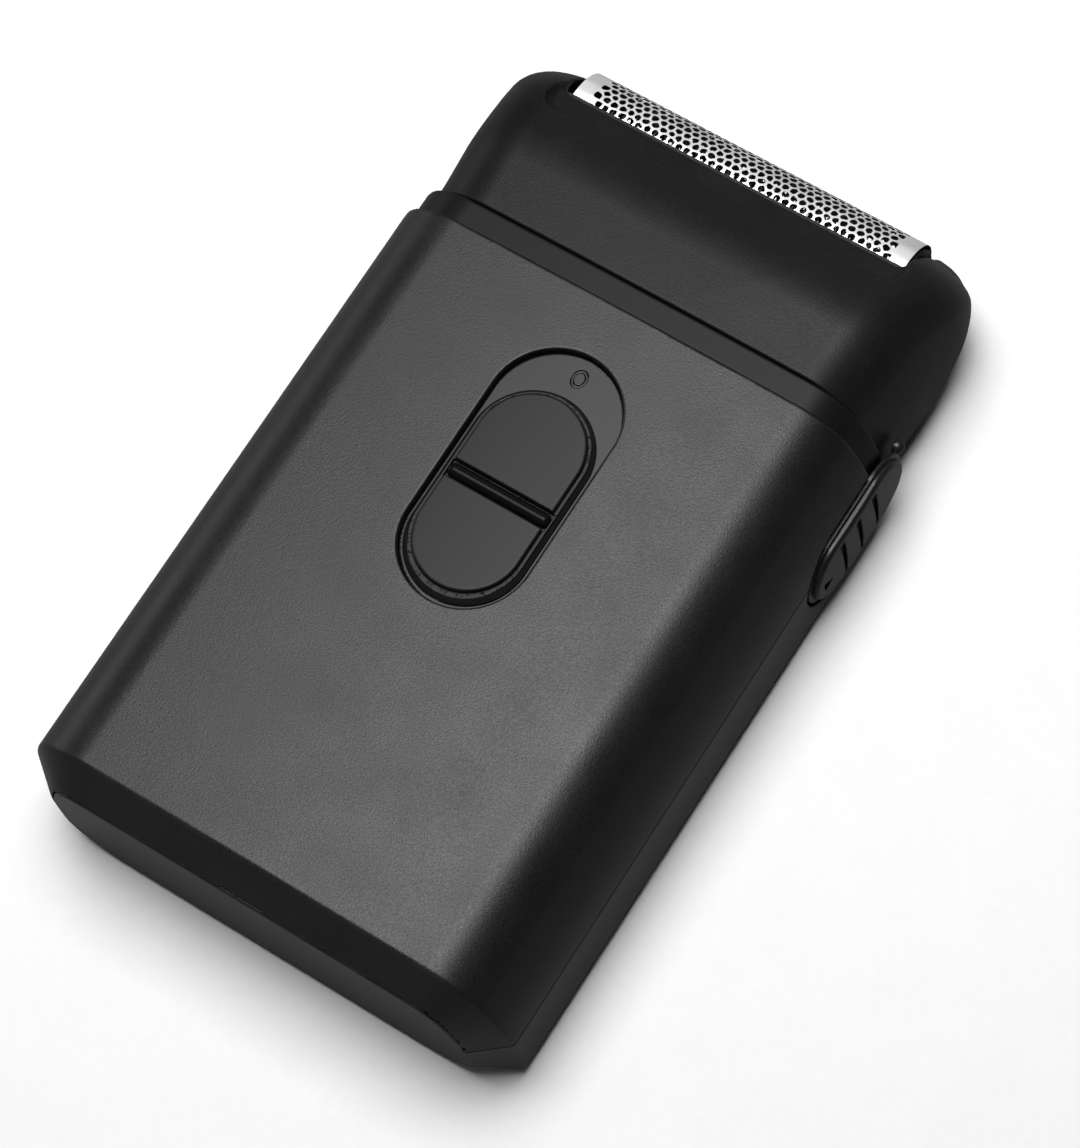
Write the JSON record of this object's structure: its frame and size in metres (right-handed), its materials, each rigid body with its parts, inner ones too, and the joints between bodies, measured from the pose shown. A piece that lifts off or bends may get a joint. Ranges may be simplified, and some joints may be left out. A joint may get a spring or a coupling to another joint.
{
  "type": "electric shaver",
  "caption": "Flat reciprocating foil shaver with a sliding power switch, a lift-off foil head and a pop-up rear trimmer worked by a side slider.",
  "frame": {"origin": "centre of the back rest face across the width, 51.3 mm above the heel end", "axes": "+X across the casing towards the trimmer slider, +Y from the heel towards the foil, +Z out of the front face with the power switch"},
  "size_m": [0.063, 0.1047, 0.0266],
  "materials": {
    "front_plastic": "fine satin texture, near black",
    "back_plastic": "smooth satin, dark grey",
    "head_plastic": "fine satin texture, near black",
    "collar_plastic": "smooth satin",
    "switch_plastic": "satin with crisp edges",
    "gloss_plastic": "polished black",
    "foil_steel": "thin electroformed foil",
    "blade_steel": "ground steel",
    "spring_steel": "bright wire",
    "motor_steel": "zinc plated can",
    "screw_steel": "dark plated",
    "cell_wrap": "shrink sleeve",
    "nickel": "nickel strip",
    "board_green": "solder mask",
    "chip_black": "moulded",
    "bridge_white": "acetal, natural",
    "brass": "turned"
  },
  "bodies": {
    "casing": {"back_shell": "back_plastic", "front_shell": "front_plastic", "housing_screws": "screw_steel", "switch_floor": "gloss_plastic", "circuit_board": "board_green", "board_switch": "nickel", "charging_port": "nickel", "board_parts": "chip_black", "battery_cell": "cell_wrap", "battery_cap": "nickel", "battery_tabs": "nickel", "motor_can": "motor_steel", "motor_end_cap": "bridge_white", "motor_terminals": "brass", "motor_screws": "screw_steel", "neck_frame": "collar_plastic", "bridge_legs": "bridge_white", "bridge_feet": "bridge_white", "bridge_screws": "screw_steel"},
    "power_switch": {"power_slider": "switch_plastic", "slider_clip": "bridge_white", "switch_lever": "chip_black"},
    "rotor": {"motor_shaft": "spring_steel", "eccentric": "bridge_white"},
    "bridge": {"drive_bridge": "bridge_white", "cutter_springs": "spring_steel"},
    "cutter": {"cutter_block": "chip_black", "cutter_blades": "blade_steel"},
    "head": {"head_cover": "head_plastic"},
    "foil_unit": {"foil": "foil_steel", "foil_frame": "head_plastic"},
    "trimmer": {"trimmer_carrier": "back_plastic", "trimmer_knob": "switch_plastic", "trimmer_comb": "blade_steel", "trimmer_guides": "chip_black", "lever_pivot": "spring_steel"},
    "trimmer_mover": {"trimmer_blade": "blade_steel"},
    "trimmer_swing": {"trimmer_lever": "bridge_white"}
  },
  "joints": [
    {"name": "power_switch_slide", "type": "slide", "parent": "casing", "child": "power_switch", "axis": [0, 1, 0], "range_m": [0, 0.0046]},
    {"name": "motor_spin", "type": "hinge", "parent": "casing", "child": "rotor", "pos_m": [0, 0.02, 0.011], "axis": [0, 1, 0], "continuous": true},
    {"name": "cutter_stroke", "type": "slide", "parent": "casing", "child": "bridge", "axis": [1, 0, 0], "range_m": [-0.001, 0.001], "stiffness_N_per_m": 1500, "deforming": ["bridge_legs"]},
    {"name": "cutter_float", "type": "slide", "parent": "bridge", "child": "cutter", "axis": [0, 1, 0], "range_m": [-0.0012, 0], "deforming": ["cutter_springs"]},
    {"name": "head_lift", "type": "slide", "parent": "casing", "child": "head", "axis": [0, 1, 0], "range_m": [0, 0.034]},
    {"name": "foil_float", "type": "slide", "parent": "head", "child": "foil_unit", "axis": [0, 1, 0], "range_m": [-0.0012, 0], "stiffness_N_per_m": 800},
    {"name": "trimmer_slide", "type": "slide", "parent": "casing", "child": "trimmer", "axis": [0, 1, 0], "range_m": [0, 0.008]},
    {"name": "trimmer_lever_swing", "type": "hinge", "parent": "trimmer", "child": "trimmer_swing", "pos_m": [0, 0.0375, 0.0034], "axis": [0, 0, 1], "range_deg": [-6, 6]},
    {"name": "trimmer_blade_stroke", "type": "slide", "parent": "trimmer", "child": "trimmer_mover", "axis": [1, 0, 0], "range_m": [-0.0007, 0.0007]}
  ],
  "couplings": [
    {"joint": "cutter_float", "follows": "foil_float", "ratio": 1},
    {"joint": "trimmer_lever_swing", "follows": "trimmer_blade_stroke", "rad_per_m": -144.93}
  ]
}
